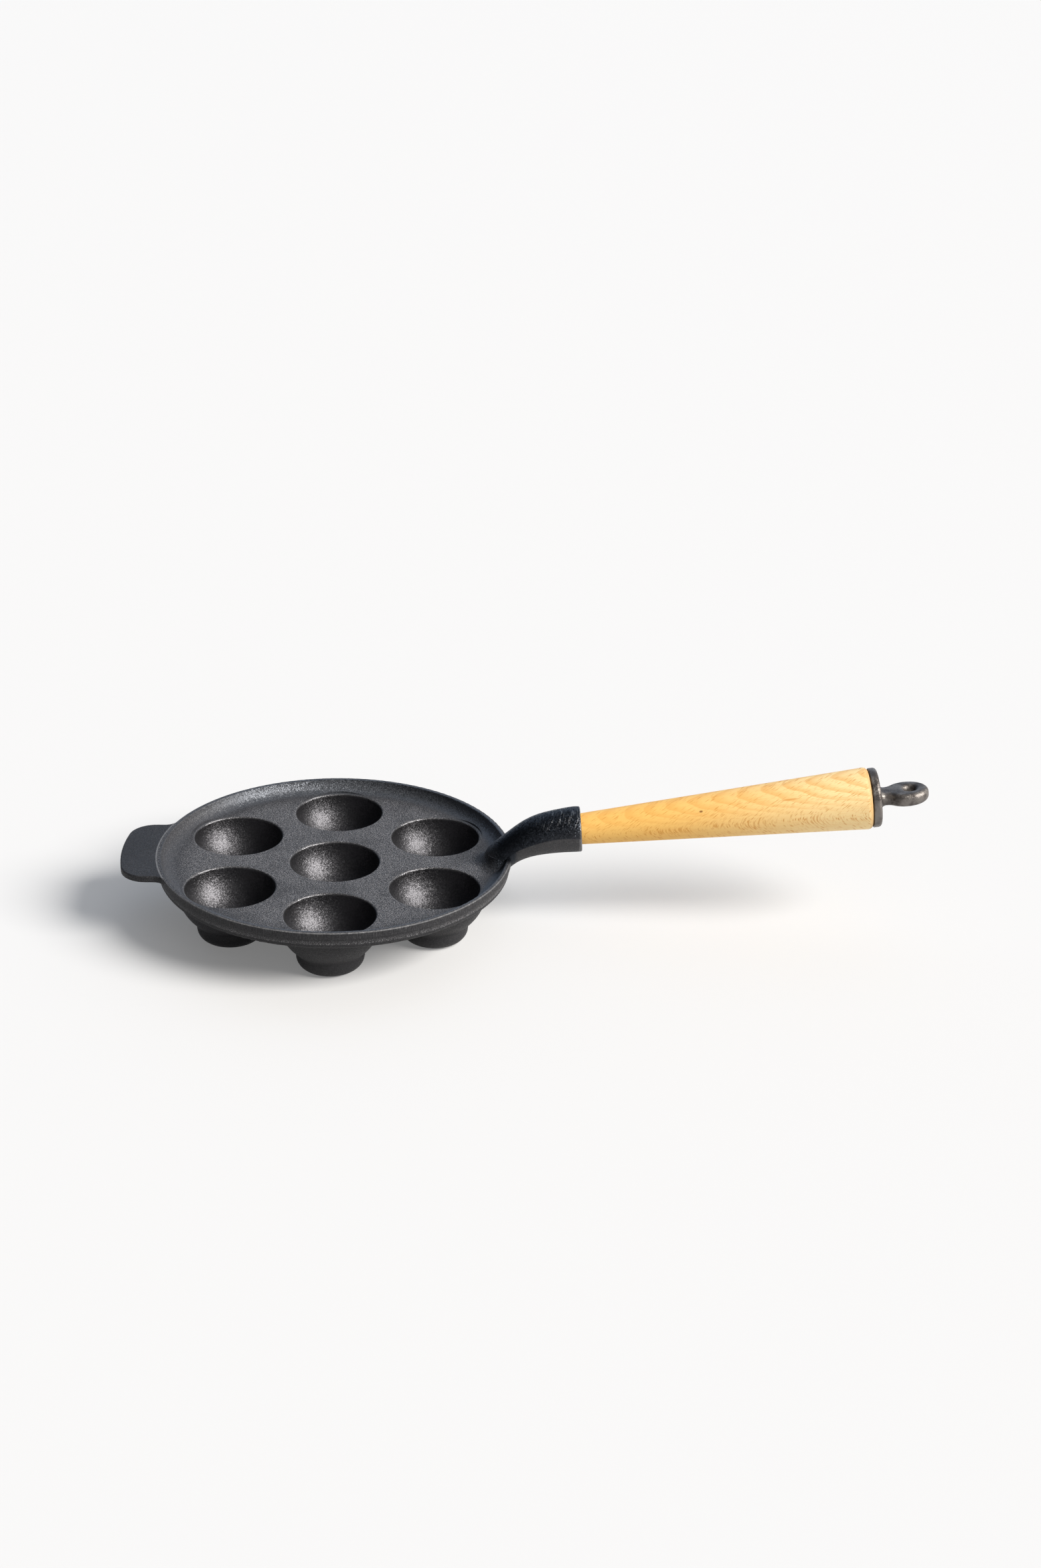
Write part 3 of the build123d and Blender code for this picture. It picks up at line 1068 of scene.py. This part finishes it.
class PAN_OT_handle(Operator):
    """Finish the handle in turned beech"""

    bl_idname = "pan.handle"
    bl_label = "Beech Handle"

    def execute(self, context):
        dress("beech_handle", beech_material(context.scene.pan))
        return {"FINISHED"}


class PAN_OT_cap(Operator):
    """Finish the end cap in tumbled iron"""

    bl_idname = "pan.cap"
    bl_label = "End Cap"

    def execute(self, context):
        dress("end_cap", cap_material(context.scene.pan))
        return {"FINISHED"}


class PAN_OT_rod(Operator):
    """Build the tie rod with its two threads, in plated steel"""

    bl_idname = "pan.rod"
    bl_label = "Tie Rod"

    def execute(self, context):
        settings = context.scene.pan
        turning = joint("cap_turn")
        start, axis = Vector(turning["pos_m"]), Vector(turning["axis"]).normalized()
        plain = frame["nodes"]["tie_rod"]
        reach = [axis.dot(plain.matrix_world @ vertex.co - start) for vertex in plain.data.vertices]
        rod = threaded_rod(settings.rod, start, axis, min(reach), max(reach))
        rod.data.materials.append(steel_material(settings))
        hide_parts("tie_rod")
        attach(rod, "rod")
        return {"FINISHED"}


class PAN_OT_studio(Operator):
    """Set up the floor, the lights and the camera"""

    bl_idname = "pan.studio"
    bl_label = "Studio"

    def execute(self, context):
        scene = context.scene
        studio = scene.pan.studio
        scene.view_settings.view_transform = "Standard"
        self.make_floor(scene, studio)
        self.make_walls(scene, studio)
        self.make_lamp(scene, studio)
        self.make_camera(scene, studio)
        return {"FINISHED"}

    def make_floor(self, scene, studio):
        """A wide pale floor, a little brighter in its own picture than the light on it makes it."""
        reach = studio.floor_reach
        corners = [(-reach, -reach, 0), (reach, -reach, 0), (reach, reach, 0), (-reach, reach, 0)]
        mesh = bpy.data.meshes.new("floor")
        mesh.from_pydata(corners, [], [(0, 1, 2, 3)])
        floor = bpy.data.objects.new("floor", mesh)
        scene.collection.objects.link(floor)
        made = Recipe("floor_finish")
        path = made.node("ShaderNodeLightPath")
        seen = made.either(path.outputs["Is Camera Ray"], path.outputs["Is Glossy Ray"])
        seen = made.either(seen, path.outputs["Is Transmission Ray"])
        finish = made.finish(
            Base_Color=opaque(studio.floor_colour),
            Roughness=0.9,
            Emission_Color=(1, 1, 1, 1),
            Emission_Strength=made.both(seen, studio.floor_glow),
        )
        mesh.materials.append(finish)

    def make_walls(self, scene, studio):
        """Dark walls with a soft light round the lamp and a cooler one behind the pan."""
        world = bpy.data.worlds.new("studio")
        world.use_nodes = True
        tree = world.node_tree
        direction = tree.nodes.new("ShaderNodeTexCoord").outputs["Generated"]
        behind = (0, math.cos(studio.back_elevation), math.sin(studio.back_elevation))
        colour = None
        for middle, edge, light in (
            (self.towards_lamp(studio), studio.fill_edge, studio.fill_colour),
            (behind, studio.back_edge, studio.back_colour),
        ):
            side = tree.nodes.new("ShaderNodeVectorMath")
            side.operation = "DOT_PRODUCT"
            side.inputs[1].default_value = middle
            tree.links.new(direction, side.inputs[0])
            share = tree.nodes.new("ShaderNodeMapRange")
            share.interpolation_type = "SMOOTHSTEP"
            share.inputs["From Min"].default_value = edge
            tree.links.new(side.outputs["Value"], share.inputs["Value"])
            add = tree.nodes.new("ShaderNodeMix")
            add.data_type = "RGBA"
            add.blend_type = "ADD"
            add.inputs[MIX_FIRST].default_value = opaque(studio.wall_colour)
            add.inputs[MIX_SECOND].default_value = opaque(light)
            tree.links.new(share.outputs[0], add.inputs["Factor"])
            if colour is not None:
                tree.links.new(colour, add.inputs[MIX_FIRST])
            colour = add.outputs[MIX_RESULT]
        tree.links.new(colour, tree.nodes["Background"].inputs["Color"])
        scene.world = world

    def towards_lamp(self, studio):
        """The direction of the large lamp."""
        level = math.cos(studio.key_elevation)
        x = level * math.cos(studio.key_azimuth)
        y = level * math.sin(studio.key_azimuth)
        return x, y, math.sin(studio.key_elevation)

    def make_lamp(self, scene, studio):
        """The large lamp, beyond the handle and a little to the front."""
        data = bpy.data.lights.new("key_lamp", "SUN")
        data.angle = studio.key_spread
        data.energy = studio.key_strength
        data.color = studio.key_colour
        lamp = bpy.data.objects.new("key_lamp", data)
        lamp.rotation_mode = "QUATERNION"
        lamp.rotation_quaternion = Vector(self.towards_lamp(studio)).to_track_quat("Z", "Y")
        scene.collection.objects.link(lamp)

    def make_camera(self, scene, studio):
        """The camera at the photograph's viewing angle."""
        data = bpy.data.cameras.new("camera")
        data.sensor_fit = "AUTO"
        data.sensor_width = 36
        data.lens = studio.lens
        data.clip_start = 0.05
        data.clip_end = 200
        camera = bpy.data.objects.new("camera", data)
        place, aim = Vector(studio.camera_place), Vector(studio.camera_aim)
        level = (aim - place).to_track_quat("-Z", "Y").to_matrix()
        turned = level @ Matrix.Rotation(studio.camera_roll, 3, "Z")
        camera.matrix_world = Matrix.Translation(place) @ turned.to_4x4()
        scene.collection.objects.link(camera)
        scene.camera = camera


class PAN_PT_sidebar(Panel):
    """Lists the pieces of the pan and their finishes"""

    bl_label = "Pan"
    bl_idname = "PAN_PT_sidebar"
    bl_space_type = "VIEW_3D"
    bl_region_type = "UI"
    bl_category = "Pan"

    def draw(self, context):
        settings = context.scene.pan
        for group_name in ("sizes", "iron", "cap", "beech", "rod", "studio"):
            group = getattr(settings, group_name)
            box = self.layout.box()
            box.label(text=group_name.capitalize())
            for name in group.__annotations__:
                box.prop(group, name)
        for operator in OPERATORS:
            self.layout.operator(operator.bl_idname)


OPERATORS = (PAN_OT_casting, PAN_OT_handle, PAN_OT_cap, PAN_OT_rod, PAN_OT_studio)
GROUPS = (PanSizes, IronFinish, CapFinish, BeechFinish, RodFinish, StudioSettings, PanSettings)
CLASSES = GROUPS + OPERATORS + (PAN_PT_sidebar,)


def register():
    for each in CLASSES:
        bpy.utils.register_class(each)
    bpy.types.Scene.pan = PointerProperty(type=PanSettings)


def unregister():
    del bpy.types.Scene.pan
    for each in reversed(CLASSES):
        bpy.utils.unregister_class(each)


def main():
    register()
    bpy.ops.pan.casting()
    bpy.ops.pan.handle()
    bpy.ops.pan.cap()
    bpy.ops.pan.rod()
    bpy.ops.pan.studio()


if __name__ == "__main__":
    main()
